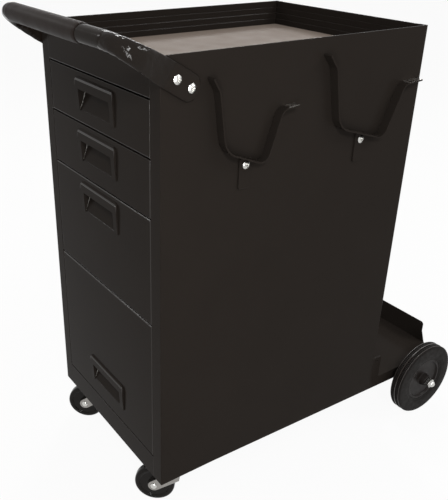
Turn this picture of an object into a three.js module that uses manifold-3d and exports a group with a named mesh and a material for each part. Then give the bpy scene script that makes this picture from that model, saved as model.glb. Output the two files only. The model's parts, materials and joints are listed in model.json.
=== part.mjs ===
// Welding cart: a sheet-steel cabinet with three drawers, a lift-up flap and an open top tray.
// It stands on two rear wheels and two swivel casters, with a gas bottle platform behind.
// Millimetres. X runs across the cart, Y from front to rear, Z up from the floor.
import * as THREE from 'three';
import { mergeVertices } from 'three/addons/utils/BufferGeometryUtils.js';
import Module from 'manifold-3d';

const wasm = await Module();
wasm.setup();

// Cabinet
const cabinetWidth = 350;
const cabinetDepth = 483;
const cabinetHeight = 680;
const groundClearance = 87; // floor to the cabinet's bottom edge
const sheet = 1.5; // sheet steel of panels, fronts and pans
const clearance = 0.3; // between pieces that touch or slide on each other
const floorGap = 2.2; // from the base's floor up to the panels that stand over it
const stileWidth = 24; // front return of each side panel
const rearFlange = 16; // rear return of each side panel

// Fronts, from the top rail down to the flap
const topRailHeight = 57;
const drawerHeights = [78.5, 85, 169];
const flapHeight = 247.5;
const seam = 2.4; // between fronts, one above the other
const sideSeam = 1.5; // between a front and the stile
const frontDepth = 12; // folded edge of a front
const frontFlange = 10; // second fold, which the drawer box is fixed to
const flapHingeInset = 4; // hinge axis from the flap's face and from its top edge
const flapRodRadius = 2;
const flapStop = 10; // lip of the bottom rail that the closed flap rests against

// Pulls: a raised hood over a slanted finger pocket
const pullWidth = 116;
const pullHeight = 50;
const pullProud = 3.6;
const pullFoot = 2; // how far the hood's lower end stands proud
const pullSlope = 4; // height of the slope along the hood's top
const pullLip = 17.5; // height of the hood's closed top part
const pullCorner = 8;
const pocketWidth = 94;
const pullDrop = 7; // from a drawer front's top edge to the hood
const flapPullRise = 29; // from the flap's bottom edge to the hood

// Drawer boxes and their runners
const boxInset = 6.8; // from a front's side edge to the box
const boxLift = 7;
const boxDrop = 14;
const boxLength = 390;
const runnerLength = 400;
const slideLength = 380;
const runnerHeight = 28;
const runnerLip = 6;
const slideNeck = 3;
const slideFoot = 20; // height of the strip fixed to the box
const slideStandOff = 1; // from that strip to the runner's lip

// Top tray with two folded steps, and its mat
const trayDepth = 40; // rim to mat
const trayRim = 11; // rim to the tray's own edge
const trayStepDrop = 10;
const trayStepIn = 2;
const traySteps = 2;
const matThickness = 3;
const matGap = 0.6;

// Shelf over the flap's compartment
const shelfDrop = 4; // below the lowest drawer box
const shelfFlange = 20;

// Base and bottle platform
const floorRise = 12; // cabinet's bottom edge to the top of the floor
const platformLength = 200;
const platformChamfer = 31;
const lipHeight = 44;
const lipHalfWidth = 133;
const lipFlare = 24; // height over which the lip widens to the floor
const lipCorner = 6;
const earWidth = 24;
const earHeight = 48;
const earScrewDrop = 5;

// Cable hooks: a bent strip and a screwed tab, on the right side
const hookDepth = 15;
const hookSheet = 2.5;
const hookScrewDrop = 159; // rim to the screws
const hookFirst = 137; // front of the cabinet to the first hook
const hookSpacing = 224;
const hookTab = { front: 11, rear: 9, drop: 35 };
const hookBends = [
  [-80, 136, 0],
  [-67, 117, 18],
  [-52, 28, 30],
  [33, -2, 14],
  [62, 77, 14],
  [95, 80, 0],
];
const hookScale = { front: [0.84, 0.93], rear: [1.16, 1] }; // across and up: the rear hook is the larger one

// Handle: a bent tube with flattened ends, and a sleeve grip
const tubeRadius = 12;
const gripRadius = 13.6;
const handleBend = 42;
const handleReach = 56.5; // crossbar ahead of the cabinet
const handleHeight = 18; // crossbar above the rim
const handleScrewBack = 42; // rear screw behind the cabinet's front
const handleScrewDrop = 42; // rear screw below the rim
const handleScrewPitch = 25;
const handleEnd = 11; // flattened end past the rear screw
const flatHalfThickness = 3;
const flatHalfHeight = 17.5;
const gripRight = 88; // the sleeve sits nearer the left arm
const gripLeft = -142;

// Screws
const screwHead = { radius: 6, height: 3.6, shank: 3 };
const earScrewHead = { radius: 3.6, height: 2.2, shank: 1.8 };
const screwTip = 1.4; // past the last sheet

// Rear wheels and axle
const wheelRadius = 75;
const tyreWidth = 24;
const tyreFace = 36.8; // outer tyre face from the cabinet's side
const tyreSeat = 45; // where the tyre sits on the hub
const tyreShoulder = 4.5;
const tyreBead = 2; // how far the tyre draws in at its seat
const hubRim = 11;
const hubDisc = 38.5; // radius at which the rim dips to the disc
const hubDish = 5; // the disc behind the tyre's face
const hubBoss = 13;
const hubNose = 10;
const hubNoseReach = 7; // boss past the tyre's face
const axleBehind = 122.7; // axle behind the cabinet
const axleRadius = 6;
const axleLobe = 18;
const nutFlat = 8;
const nutLength = 9;
const nutDome = 7;

// Casters
const casterRadius = 35;
const casterWidth = 20;
const casterDisc = { boss: 11, rim: 26, dish: 3, edge: 4 }; // radii of boss and rim, depth, rounded edge
const casterTrail = 24;
const casterTurn = -43; // degrees about the swivel, as they stand
const casterFromSide = 44;
const casterFromFront = 43;
const casterPlate = 60;
const casterPlateThickness = 2.5;
const raceRadius = 21;
const raceHeight = 5;
const crownHeight = 5;
const kingpinRadius = 6;
const kingpinHead = { radius: 9, height: 3 };
const forkPlate = 2.5;
const forkGap = 1.5; // wheel to fork plate
const forkEye = 10;
const forkLean = 35; // degrees by which the legs rise from the axle
const forkKnee = { front: 8, rear: 20 }; // from the swivel axis to where the legs turn upright
const forkCrown = { front: 14, rear: 24 };
const casterAxle = { radius: 4, head: 6, headHeight: 2 };

// Derived places
const halfWidth = cabinetWidth / 2;
const front = -cabinetDepth / 2;
const rear = cabinetDepth / 2;
const bottom = groundClearance;
const top = bottom + cabinetHeight;
const openingHalf = halfWidth - stileWidth;
const frontHalf = openingHalf - sideSeam;
const insideHalf = halfWidth - sheet - clearance; // what fits between the side panels
const rearPanelBack = rear - sheet - clearance;
const rearInside = rearPanelBack - sheet - clearance;
const boxHalf = frontHalf - boxInset;
const boxFront = front + frontDepth + clearance;
const baseTop = bottom + floorRise;
const platformRear = rear + platformLength;
const axleY = rear + axleBehind;
const earTop = baseTop + earHeight;
const earY = [rear + clearance, rear + clearance + earWidth];
const earScrew = [(earY[0] + earY[1]) / 2, earTop - earScrewDrop];
const hookX = halfWidth + clearance;
const hookZ = top - hookScrewDrop;
const hookPlaces = [front + hookFirst, front + hookFirst + hookSpacing];
const crossbar = [front - handleReach, top + handleHeight];
const handleFoot = [front + handleScrewBack, top - handleScrewDrop];
const armLength = Math.hypot(crossbar[0] - handleFoot[0], crossbar[1] - handleFoot[1]);
const armAlong = new THREE.Vector3(0, crossbar[0] - handleFoot[0], crossbar[1] - handleFoot[1]).normalize();
const armX = halfWidth + clearance + tubeRadius;
const bodyFront = crossbar[0] - gripRadius;
const frameCentre = (bodyFront + platformRear) / 2; // the part's origin is under this point

// Front edges from the top down
let edge = top - topRailHeight;
const topRailBottom = edge + seam / 2;
const drawers = drawerHeights.map((height) => {
  const place = { high: edge - seam / 2, low: edge - height + seam / 2 };
  edge -= height;
  return place;
});
const flap = { high: edge - seam / 2, low: edge - flapHeight + seam / 2 };
const bottomRailTop = flap.low - seam;
const hinge = [front + flapHingeInset, flap.high - flapHingeInset];

// Finishes
function finish(color, roughness, metalness) {
  return new THREE.MeshStandardMaterial({ color, roughness, metalness });
}
const paint = finish('#2e2a27', 0.45, 0.2);
const innerPaint = finish('#262321', 0.5, 0.2);
const zinc = finish('#c9c9c6', 0.3, 0.9);
const galvanised = finish('#8e8f8d', 0.45, 0.8);
const rubber = finish('#1b1a19', 0.85, 0);
const mould = finish('#242322', 0.55, 0);
const sleeve = finish('#2b2a29', 0.9, 0);
const matGrey = finish('#988e89', 0.8, 0);

// Solids: every shape passes through here, so that it is closed and faces outwards
function solid(geometry) {
  geometry.deleteAttribute('normal');
  geometry.deleteAttribute('uv');
  const welded = mergeVertices(geometry, 1e-4);
  const at = welded.getAttribute('position');
  const corner = (i) => new THREE.Vector3().fromBufferAttribute(at, i);
  const kept = [];
  let volume = 0;
  for (let i = 0; i < welded.index.count; i += 3) {
    const [a, b, c] = [0, 1, 2].map((k) => welded.index.getX(i + k));
    if (a === b || b === c || c === a) continue;
    kept.push([a, b, c]);
    volume += corner(a).dot(corner(b).cross(corner(c)));
  }
  const turned = volume < 0 ? kept.map(([a, b, c]) => [a, c, b]) : kept;
  const vertProperties = new Float32Array(at.array);
  const triVerts = new Uint32Array(turned.flat());
  return new wasm.Manifold(new wasm.Mesh({ numProp: 3, vertProperties, triVerts }));
}

function shape(manifold) {
  const { vertProperties, triVerts } = manifold.getMesh();
  const geometry = new THREE.BufferGeometry();
  geometry.setAttribute('position', new THREE.BufferAttribute(new Float32Array(vertProperties), 3));
  geometry.setIndex(new THREE.BufferAttribute(new Uint32Array(triVerts), 1));
  return geometry;
}

function join(...geometries) {
  return shape(geometries.map(solid).reduce((all, next) => all.add(next)));
}

function cut(geometry, ...tools) {
  return shape(tools.map(solid).reduce((left, tool) => left.subtract(tool), solid(geometry)));
}

// A box between pairs of limits, given in either order
function slab(...limits) {
  const size = limits.map(([a, b]) => Math.abs(b - a));
  const middle = limits.map(([a, b]) => (a + b) / 2);
  return new THREE.BoxGeometry(...size).translate(...middle);
}

// An outline pushed along an axis: x takes [y, z] points, y takes [x, z] and z takes [x, y]
function prism(axis, points, limits) {
  const outline = new THREE.Shape(points.map(([u, v]) => new THREE.Vector2(u, v)));
  const low = Math.min(...limits);
  const depth = Math.max(...limits) - low;
  const geometry = new THREE.ExtrudeGeometry(outline, { depth, bevelEnabled: false });
  const [x, y, z] = [[1, 0, 0], [0, 1, 0], [0, 0, 1]].map((v) => new THREE.Vector3(...v));
  const turn = new THREE.Matrix4();
  if (axis === 'x') turn.makeBasis(y, z, x).setPosition(low, 0, 0);
  if (axis === 'y') turn.makeBasis(x, z, y.negate()).setPosition(0, low + depth, 0);
  if (axis === 'z') turn.setPosition(0, 0, low);
  return geometry.applyMatrix4(turn);
}

// A turned shape about the X axis, from [radius, x] points
function turned(points, sides) {
  const profile = points.map(([radius, x]) => new THREE.Vector2(radius, x));
  return new THREE.LatheGeometry(profile, sides).rotateZ(-Math.PI / 2);
}

// A turned ring: the profile closes on itself
function turnedRing(points, sides) {
  return turned([...points, points[0]], sides);
}

function rod(radius, limits, y, z, sides = 16) {
  const [low, high] = [Math.min(...limits), Math.max(...limits)];
  return turned([[0, low], [radius, low], [radius, high], [0, high]], sides).translate(0, y, z);
}

// Points of an outline whose corners [u, v, radius] are rounded by arcs
function rounded(corners, closed, steps = 5) {
  const count = corners.length;
  return corners.flatMap(([u, v, radius], i) => {
    if (!radius || (!closed && (i === 0 || i === count - 1))) return [[u, v]];
    const here = new THREE.Vector2(u, v);
    const side = (other) => new THREE.Vector2(other[0], other[1]).sub(here).normalize();
    const before = side(corners[(i + count - 1) % count]);
    const after = side(corners[(i + 1) % count]);
    const half = Math.acos(THREE.MathUtils.clamp(before.dot(after), -1, 1)) / 2;
    const centre = before.clone().add(after).normalize().multiplyScalar(radius / Math.sin(half)).add(here);
    const first = before.clone().multiplyScalar(radius / Math.tan(half)).add(here).sub(centre);
    const last = after.clone().multiplyScalar(radius / Math.tan(half)).add(here).sub(centre);
    const sweep = Math.atan2(first.cross(last), first.dot(last));
    return Array.from({ length: steps + 1 }, (_, k) => {
      const spoke = first.clone().rotateAround(new THREE.Vector2(), (sweep * k) / steps);
      return [centre.x + spoke.x, centre.y + spoke.y];
    });
  });
}

// The outline of a strip bent along a line of points
function stripOutline(line, thickness) {
  const offset = (sign) => line.map(([u, v], i) => {
    const from = line[Math.max(i - 1, 0)];
    const to = line[Math.min(i + 1, line.length - 1)];
    const along = new THREE.Vector2(to[0] - from[0], to[1] - from[1]).normalize();
    return [u - (sign * along.y * thickness) / 2, v + (sign * along.x * thickness) / 2];
  });
  return [...offset(1), ...offset(-1).reverse()];
}

// A skin over rings of points, closed by a fan at each end
function loft(rings) {
  const sides = rings[0].length;
  const middle = (ring) => ring.reduce((sum, p) => sum.add(p), new THREE.Vector3()).divideScalar(sides);
  const points = [...rings.flat(), middle(rings[0]), middle(rings.at(-1))];
  const last = (rings.length - 1) * sides;
  const index = [];
  for (let k = 0; k < sides; k += 1) {
    const next = (k + 1) % sides;
    index.push(points.length - 2, next, k, points.length - 1, last + k, last + next);
    for (let r = 0; r < last; r += sides) {
      index.push(r + k, r + next, r + sides + k, r + next, r + sides + next, r + sides + k);
    }
  }
  const geometry = new THREE.BufferGeometry().setFromPoints(points);
  geometry.setIndex(index);
  return geometry;
}

const cart = new THREE.Group();
cart.position.y = -frameCentre;

function piece(name, geometry, material, parent = cart) {
  const mesh = new THREE.Mesh(geometry, material);
  mesh.name = name;
  parent.add(mesh);
}

const sides = [['right', 1], ['left', -1]];

// A screw along X: its head lies at x, and side is the way that it faces
function screw(x, y, z, head, reach, side) {
  const dome = [
    [0, -reach], [head.shank, -reach], [head.shank, 0], [head.radius, 0],
    [head.radius, head.height * 0.35], [head.radius * 0.72, head.height * 0.85], [0, head.height],
  ];
  const slot = head.radius * 0.5;
  const wide = head.radius * 0.13;
  const deep = [head.height * 0.45, head.height + 1];
  const body = cut(
    turned(dome, 12),
    slab(deep, [-slot, slot], [-wide, wide]),
    slab(deep, [-wide, wide], [-slot, slot]),
  );
  if (side < 0) body.rotateZ(Math.PI);
  return body.translate(x, y, z);
}

function screwHole(head, limits, y, z) {
  return rod(head.shank + clearance, limits, y, z, 12);
}

// Side panels: a skin with a front stile, its inner lip, and a rear flange
const acrossSide = [halfWidth - stileWidth, halfWidth + stileWidth];
const handleScrews = [0, handleScrewPitch].map((along) => [
  handleFoot[0] + armAlong.y * along,
  handleFoot[1] + armAlong.z * along,
]);

function sidePanel(side) {
  const x = (a, b) => [side * a, side * b];
  const panel = join(
    slab(x(halfWidth - sheet, halfWidth), [front, rear], [bottom, top]),
    slab(x(openingHalf, halfWidth), [front, front + sheet], [bottom, top]),
    slab(
      x(openingHalf, openingHalf + sheet),
      [front, front + frontDepth],
      [baseTop + floorGap, topRailBottom],
    ),
    slab(x(halfWidth - rearFlange, halfWidth), [rear - sheet, rear], [earTop + clearance, top]),
  );
  const through = x(...acrossSide);
  const holes = handleScrews.map(([y, z]) => screwHole(screwHead, through, y, z));
  holes.push(rod(flapRodRadius + clearance, x(openingHalf - sheet, openingHalf + 2 * sheet), ...hinge, 12));
  if (side > 0) {
    holes.push(...hookPlaces.map((y) => screwHole(screwHead, through, y, hookZ)));
  }
  return cut(panel, ...holes);
}

sides.forEach(([name, side]) => piece(`side_panel_${name}`, sidePanel(side), paint));

// Rear panel, with a flange behind each lower corner that the base's ear is screwed to
function rearPanel() {
  const flangeX = insideHalf - sheet - clearance;
  const flanges = sides.map(([, side]) => slab(
    [side * (flangeX - sheet), side * flangeX],
    [rearPanelBack - sheet, earY[1]],
    [baseTop + floorGap, earTop],
  ));
  const plate = slab(
    [-insideHalf, insideHalf],
    [rearPanelBack - sheet, rearPanelBack],
    [baseTop + floorGap, top],
  );
  const holes = sides.map(([, side]) => {
    const through = [side * (flangeX - 3 * sheet), side * halfWidth];
    return screwHole(earScrewHead, through, ...earScrew);
  });
  return cut(join(plate, ...flanges), ...holes);
}

piece('rear_panel', rearPanel(), paint);

// Front rails above the drawers and below the flap
const railX = [clearance - openingHalf, openingHalf - clearance];
piece('front_top_rail', join(
  slab(railX, [front, front + sheet], [topRailBottom, top]),
  slab(railX, [front, front + frontDepth], [topRailBottom, topRailBottom + sheet]),
), paint);

const stopY = front + frontDepth + clearance;
piece('front_bottom_rail', join(
  slab(railX, [front, front + sheet], [bottom, bottomRailTop]),
  slab(railX, [front, stopY + sheet], [bottomRailTop - sheet, bottomRailTop]),
  slab(railX, [stopY, stopY + sheet], [bottomRailTop - sheet, bottomRailTop + flapStop]),
), paint);

// Base: the cabinet's floor and the platform in one pan, with ears, axle lugs and a rear lip
function baseFloor() {
  const edgeY = platformRear - platformChamfer;
  const edgeX = insideHalf - platformChamfer;
  const frontY = front + sheet + clearance;
  const outline = [
    [-insideHalf, frontY], [insideHalf, frontY], [insideHalf, edgeY],
    [edgeX, platformRear], [-edgeX, platformRear], [-insideHalf, edgeY],
  ];
  return prism('z', outline, [baseTop - sheet, baseTop]);
}

function baseSide(side) {
  const lug = Array.from({ length: 9 }, (_, k) => {
    const angle = -Math.PI * (1 - k / 8);
    return [axleY + axleLobe * Math.cos(angle), wheelRadius + axleLobe * Math.sin(angle)];
  });
  const outline = [
    [front + sheet + clearance, bottom], ...lug, [platformRear - platformChamfer, bottom],
    [platformRear - platformChamfer, baseTop], [earY[1], baseTop], [earY[1], earTop],
    [earY[0], earTop], [earY[0], baseTop], [front + sheet + clearance, baseTop],
  ];
  const limits = [side * (insideHalf - sheet), side * insideHalf];
  const through = [side * (insideHalf - 3 * sheet), side * (insideHalf + sheet)];
  return cut(
    prism('x', outline, limits),
    rod(axleRadius + clearance, through, axleY, wheelRadius, 20),
    screwHole(earScrewHead, through, ...earScrew),
  );
}

function platformLip() {
  const foot = insideHalf - platformChamfer;
  const crest = baseTop + lipHeight;
  const low = baseTop - sheet;
  const half = [[foot, low, 0], [lipHalfWidth, baseTop + lipFlare, 0], [lipHalfWidth, crest, lipCorner]];
  const mirrored = half.map(([x, z, radius]) => [-x, z, radius]).reverse();
  return prism('y', rounded([...half, ...mirrored], true), [platformRear - sheet, platformRear]);
}

const baseFrontY = front + sheet + clearance;
piece('base_pan', join(
  baseFloor(),
  ...sides.map(([, side]) => baseSide(side)),
  slab([-insideHalf, insideHalf], [baseFrontY, baseFrontY + sheet], [bottom, baseTop]),
  platformLip(),
), paint);

const earX = insideHalf - 2 * sheet - clearance;
sides.forEach(([name, side]) => {
  const reach = insideHalf - earX + screwTip;
  piece(`ear_screw_${name}`, screw(side * insideHalf, ...earScrew, earScrewHead, reach, side), paint);
});

// Top tray: a pan whose walls step inwards twice, and a mat on its floor
const matTop = top - trayDepth;
const trayFloor = matTop - matThickness - clearance;

function trayPan() {
  const box = (inset, z) => slab(
    [inset - insideHalf, insideHalf - inset],
    [front + sheet + clearance + inset, rearInside - inset],
    z,
  );
  const levels = Array.from({ length: traySteps + 1 }, (_, k) => k);
  const ledge = (k) => top - trayRim - k * trayStepDrop;
  const low = (k) => (k === traySteps ? trayFloor : ledge(k + 1));
  const outer = levels.map((k) => box(k * trayStepIn, [low(k) - sheet, ledge(k)]));
  const inner = levels.map((k) => box(k * trayStepIn + sheet, [low(k), top]));
  return cut(join(...outer), ...inner);
}

const matInset = traySteps * trayStepIn + sheet + matGap;
piece('tray_pan', trayPan(), innerPaint);
piece('tray_mat', slab(
  [matInset - insideHalf, insideHalf - matInset],
  [front + sheet + clearance + matInset, rearInside - matInset],
  [matTop - matThickness, matTop],
), matGrey);

// Shelf between the lowest drawer and the flap's compartment
const shelfTop = drawers.at(-1).low + boxLift - shelfDrop;
piece('compartment_shelf', join(
  slab([-insideHalf, insideHalf], [boxFront + clearance, rearInside], [shelfTop - sheet, shelfTop]),
  ...sides.map(([, side]) => slab(
    [side * (insideHalf - sheet), side * insideHalf],
    [boxFront + clearance, rearInside],
    [shelfTop - shelfFlange, shelfTop],
  )),
), innerPaint);

// Pull: hood and slanted pocket as one stamping, placed by the hood's top edge
const pocketHalf = pocketWidth / 2;
const pocketWall = 2;
const pocketTop = -Math.max(pullSlope, frontFlange + clearance - pullDrop); // clear of the front's flange

function pull(hoodTop) {
  const at = ([y, z]) => [front + y, hoodTop + z];
  const foot = -pullHeight;
  const hood = [
    [-clearance, foot], [-pullFoot, foot], [-pullProud, -pullLip],
    [-pullProud, -pullSlope], [-clearance, 0],
  ].map(at);
  const scoop = [
    [-sheet, pocketTop], [frontDepth, pocketTop], [frontDepth, -pullLip - sheet],
    [sheet, foot + sheet], [-sheet, foot + sheet],
  ].map(at);
  const hollow = [
    [-pullProud - sheet, foot - sheet], [-pullProud - sheet, -pullLip], [-pullProud + sheet, -pullLip],
    [-pullProud + sheet, pocketTop - sheet], [frontDepth - sheet, pocketTop - sheet],
    [frontDepth - sheet, -pullLip],
    [0, foot + 2 * sheet], [0, foot - sheet],
  ].map(at);
  const hoodSolid = prism('x', hood, [-pullWidth / 2, pullWidth / 2]);
  const half = pullWidth / 2;
  const outline = rounded([
    [-half, hoodTop + foot, 0], [half, hoodTop + foot, 0],
    [half, hoodTop, pullCorner], [-half, hoodTop, pullCorner],
  ], true, 4);
  const trimmed = shape(solid(hoodSolid).intersect(solid(prism('y', outline, [front - pullProud, front]))));
  const scoopHalf = pocketHalf + pocketWall;
  return cut(
    join(trimmed, prism('x', scoop, [-scoopHalf, scoopHalf])),
    prism('x', hollow, [-pocketHalf, pocketHalf]),
  );
}

// Front: a folded pan with a window behind and a hole for the pull's pocket
function frontPan({ low, high }, hoodTop) {
  const holeHalf = pocketHalf + pocketWall + clearance;
  return cut(
    slab([-frontHalf, frontHalf], [front, front + frontDepth], [low, high]),
    slab(
      [sheet - frontHalf, frontHalf - sheet],
      [front + sheet, front + frontDepth - sheet],
      [low + sheet, high - sheet],
    ),
    slab(
      [frontFlange - frontHalf, frontHalf - frontFlange],
      [front + sheet, front + frontDepth + sheet],
      [low + frontFlange, high - frontFlange],
    ),
    slab(
      [-holeHalf, holeHalf],
      [front - sheet, front + 2 * sheet],
      [hoodTop - pullHeight + sheet - clearance, hoodTop + pocketTop + clearance],
    ),
  );
}

// Drawers: front, pull, open box, and a slide on each side running in a channel on the cabinet
const slideX = boxHalf + clearance;
const lipX = slideX + sheet + slideStandOff;

function runner(side, z) {
  const half = runnerHeight / 2;
  const inner = half - sheet;
  const wall = insideHalf - sheet;
  const outline = [
    [insideHalf, -half], [insideHalf, half], [lipX, half], [lipX, half - runnerLip],
    [lipX + sheet, half - runnerLip], [lipX + sheet, inner], [wall, inner], [wall, -inner],
    [lipX + sheet, -inner], [lipX + sheet, runnerLip - half], [lipX, runnerLip - half], [lipX, -half],
  ].map(([x, dz]) => [side * x, z + dz]);
  const start = boxFront + 2 * clearance;
  return prism('y', outline, [start, start + runnerLength]);
}

function slide(side, z) {
  const shoe = runnerHeight / 2 - sheet - clearance;
  const shoeX = lipX + sheet + clearance;
  const neck = slideNeck / 2;
  const foot = slideFoot / 2;
  const outline = [
    [slideX, -foot], [slideX + sheet, -foot], [slideX + sheet, -neck], [shoeX, -neck],
    [shoeX, -shoe], [shoeX + sheet, -shoe], [shoeX + sheet, shoe], [shoeX, shoe],
    [shoeX, neck], [slideX + sheet, neck], [slideX + sheet, foot], [slideX, foot],
  ].map(([x, dz]) => [side * x, z + dz]);
  const start = boxFront + 4 * clearance;
  return prism('y', outline, [start, start + slideLength]);
}

function drawerBox(low, high) {
  const boxRear = boxFront + boxLength;
  return cut(
    slab([-boxHalf, boxHalf], [boxFront, boxRear], [low, high]),
    slab(
      [sheet - boxHalf, boxHalf - sheet],
      [boxFront + sheet, boxRear - sheet],
      [low + sheet, high + sheet],
    ),
  );
}

drawers.forEach((place, i) => {
  const name = `drawer_${i + 1}`;
  const hoodTop = place.high - pullDrop;
  const box = { low: place.low + boxLift, high: place.high - boxDrop };
  const railZ = (box.low + box.high) / 2;
  piece(`${name}_front`, frontPan(place, hoodTop), paint);
  piece(`${name}_pull`, pull(hoodTop), paint);
  piece(`${name}_box`, drawerBox(box.low, box.high), innerPaint);
  sides.forEach(([sideName, side]) => {
    piece(`${name}_slide_${sideName}`, slide(side, railZ), galvanised);
    piece(`${name}_runner_${sideName}`, runner(side, railZ), galvanised);
  });
});

// Flap over the lower compartment, on a rod along its top edge
const flapHood = flap.low + flapPullRise + pullHeight;
const rodEnd = openingHalf + 2 * sheet;
piece('flap_panel', cut(
  frontPan(flap, flapHood),
  rod(flapRodRadius + clearance, [-openingHalf, openingHalf], ...hinge, 12),
), paint);
piece('flap_pull', pull(flapHood), paint);
piece('flap_hinge_rod', rod(flapRodRadius, [-rodEnd, rodEnd], ...hinge, 12), zinc);

// Cable hooks on the right side
function cableHook(y, [across, up]) {
  const bends = hookBends.map(([dy, dz, radius]) => [dy * across, dz * up, radius]);
  const line = rounded(bends, false, 4).map(([dy, dz]) => [y + dy, hookZ + dz]);
  const strip = prism('x', stripOutline(line, hookSheet), [hookX, hookX + hookDepth]);
  const [, , left, right] = bends;
  const bedAtTab = left[1] + ((right[1] - left[1]) * -left[0]) / (right[0] - left[0]);
  const tab = rounded([
    [y - hookTab.front, hookZ - hookTab.drop, 3], [y + hookTab.rear, hookZ - hookTab.drop, 3],
    [y + hookTab.rear, hookZ + bedAtTab, 0], [y - hookTab.front, hookZ + bedAtTab, 0],
  ], true, 3);
  return cut(
    join(strip, prism('x', tab, [hookX, hookX + hookSheet])),
    screwHole(screwHead, [halfWidth, hookX + 2 * hookSheet], y, hookZ),
  );
}

hookPlaces.forEach((y, i) => {
  const name = i === 0 ? 'front' : 'rear';
  const headX = hookX + hookSheet + clearance;
  const reach = headX - halfWidth + sheet + screwTip;
  piece(`cable_hook_${name}`, cableHook(y, hookScale[name]), paint);
  piece(`hook_screw_${name}`, screw(headX, y, hookZ, screwHead, reach, 1), zinc);
});

// Handle: each arm starts flat on the side panel and grows round towards the far end of its bend
const tubeSides = 16;
const crossbarAxis = new THREE.Vector3(1, 0, 0);
const handleNormal = armAlong.clone().cross(crossbarAxis);
const flatEnd = handleScrewPitch + handleEnd;
const swellLength = armLength - handleBend - flatEnd; // straight part in which the arm grows

function armSection(run) {
  const share = run / (swellLength + (handleBend * Math.PI) / 2);
  const ease = share * share * (3 - 2 * share);
  const wide = THREE.MathUtils.lerp(flatHalfThickness, tubeRadius, ease);
  return [wide, THREE.MathUtils.lerp(flatHalfHeight, tubeRadius, ease)];
}

function tubeRing(along, x, turn, wide, high) {
  const outward = crossbarAxis.clone().multiplyScalar(Math.cos(turn));
  outward.addScaledVector(armAlong, Math.sin(turn));
  const centre = new THREE.Vector3(x, handleFoot[0], handleFoot[1]).addScaledVector(armAlong, along);
  return Array.from({ length: tubeSides }, (_, k) => {
    const angle = (2 * Math.PI * k) / tubeSides;
    const point = centre.clone().addScaledVector(outward, wide * Math.cos(angle));
    return point.addScaledVector(handleNormal, high * Math.sin(angle));
  });
}

function armRings(side) {
  const ends = [
    [-handleEnd, 0.62], [-handleEnd * 0.75, 0.84], [-handleEnd * 0.3, 0.97], [0, 1], [flatEnd, 1],
  ];
  const swell = [0.25, 0.5, 0.75, 1].map((share) => {
    const run = share * swellLength;
    return [flatEnd + run, ...armSection(run)];
  });
  const flats = ends.map(([along, share]) => [along, flatHalfThickness, flatHalfHeight * share]);
  const turn = side > 0 ? 0 : Math.PI;
  return [...flats, ...swell].map(([along, wide, high]) => (
    tubeRing(along, side * (halfWidth + clearance + wide), turn, wide, high)
  ));
}

// The inside of the bend keeps its radius while the tube grows
function bendRings(side) {
  const steps = 7;
  return Array.from({ length: steps }, (_, k) => {
    const angle = ((k + 1) / steps) * (Math.PI / 2);
    const [wide, high] = armSection(swellLength + handleBend * angle);
    const radius = handleBend - tubeRadius + wide;
    const x = side * (armX - handleBend + radius * Math.cos(angle));
    const along = armLength - handleBend + radius * Math.sin(angle);
    return tubeRing(along, x, side > 0 ? angle : Math.PI - angle, wide, high);
  });
}

function handleTube() {
  const [right, left] = [1, -1].map((side) => [...armRings(side), ...bendRings(side)]);
  const holes = sides.flatMap(([, side]) => handleScrews.map(([y, z]) => (
    screwHole(screwHead, [side * halfWidth, side * (halfWidth + 4 * flatHalfThickness)], y, z)
  )));
  return cut(loft([...right, ...left.reverse()]), ...holes);
}

piece('handle_tube', handleTube(), paint);
piece('handle_grip', turnedRing([
  [tubeRadius + clearance, gripLeft], [gripRadius, gripLeft], [gripRadius, gripRight],
  [tubeRadius + clearance, gripRight],
], 20).translate(0, ...crossbar), sleeve);
sides.forEach(([name, side]) => handleScrews.forEach(([y, z], i) => {
  const headX = halfWidth + clearance + 2 * flatHalfThickness + clearance;
  const reach = headX - halfWidth + sheet + screwTip;
  const place = i === 0 ? 'rear' : 'front';
  piece(`handle_screw_${place}_${name}`, screw(side * headX, y, z, screwHead, reach, side), zinc);
}));

// Rear wheels on a fixed axle, each with a tyre, a hub and a cap nut
const tyreOut = halfWidth + tyreFace;
const tyreIn = tyreOut - tyreWidth;
const hubEnd = tyreOut + hubNoseReach;
const nutStart = hubEnd + clearance;
const axleEnd = nutStart + nutLength;

function tyre() {
  const crown = wheelRadius - tyreShoulder;
  const bulge = (tyreSeat + wheelRadius) / 2;
  const half = [
    [tyreSeat, tyreBead], [bulge, 0], [crown, tyreShoulder * 0.25],
    [wheelRadius - tyreShoulder * 0.3, tyreShoulder * 0.7], [wheelRadius, tyreShoulder * 1.2],
  ];
  const inner = half.map(([radius, x]) => [radius, tyreIn + x]);
  const outer = half.map(([radius, x]) => [radius, tyreOut - x]).reverse();
  return turnedRing([...inner, ...outer], 40);
}

function hub() {
  const bore = axleRadius + clearance;
  const rim = tyreSeat - clearance;
  const start = insideHalf + 2 * clearance;
  const middle = (tyreIn + tyreOut) / 2;
  return turnedRing([
    [bore, start], [hubBoss, start], [hubBoss, middle - 4], [rim, middle - hubRim / 2],
    [rim, tyreOut - tyreBead], [hubDisc + 1.5, tyreOut - tyreBead], [hubDisc, tyreOut - hubDish],
    [hubBoss, tyreOut - hubDish], [hubNose, hubEnd], [bore, hubEnd],
  ], 28);
}

function capNut() {
  const corners = Array.from({ length: 6 }, (_, k) => {
    const angle = (k * Math.PI) / 3;
    const radius = nutFlat / Math.cos(Math.PI / 6);
    return [radius * Math.cos(angle), radius * Math.sin(angle)];
  });
  const dome = [[0, axleEnd - sheet], [nutFlat * 0.85, axleEnd - sheet], [nutFlat * 0.85, axleEnd]];
  dome.push([nutFlat * 0.6, axleEnd + nutDome * 0.75], [0, axleEnd + nutDome]);
  return cut(
    join(prism('x', corners, [nutStart, axleEnd]), turned(dome, 12)),
    rod(axleRadius + clearance, [nutStart - sheet, axleEnd], 0, 0, 16),
  );
}

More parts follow.
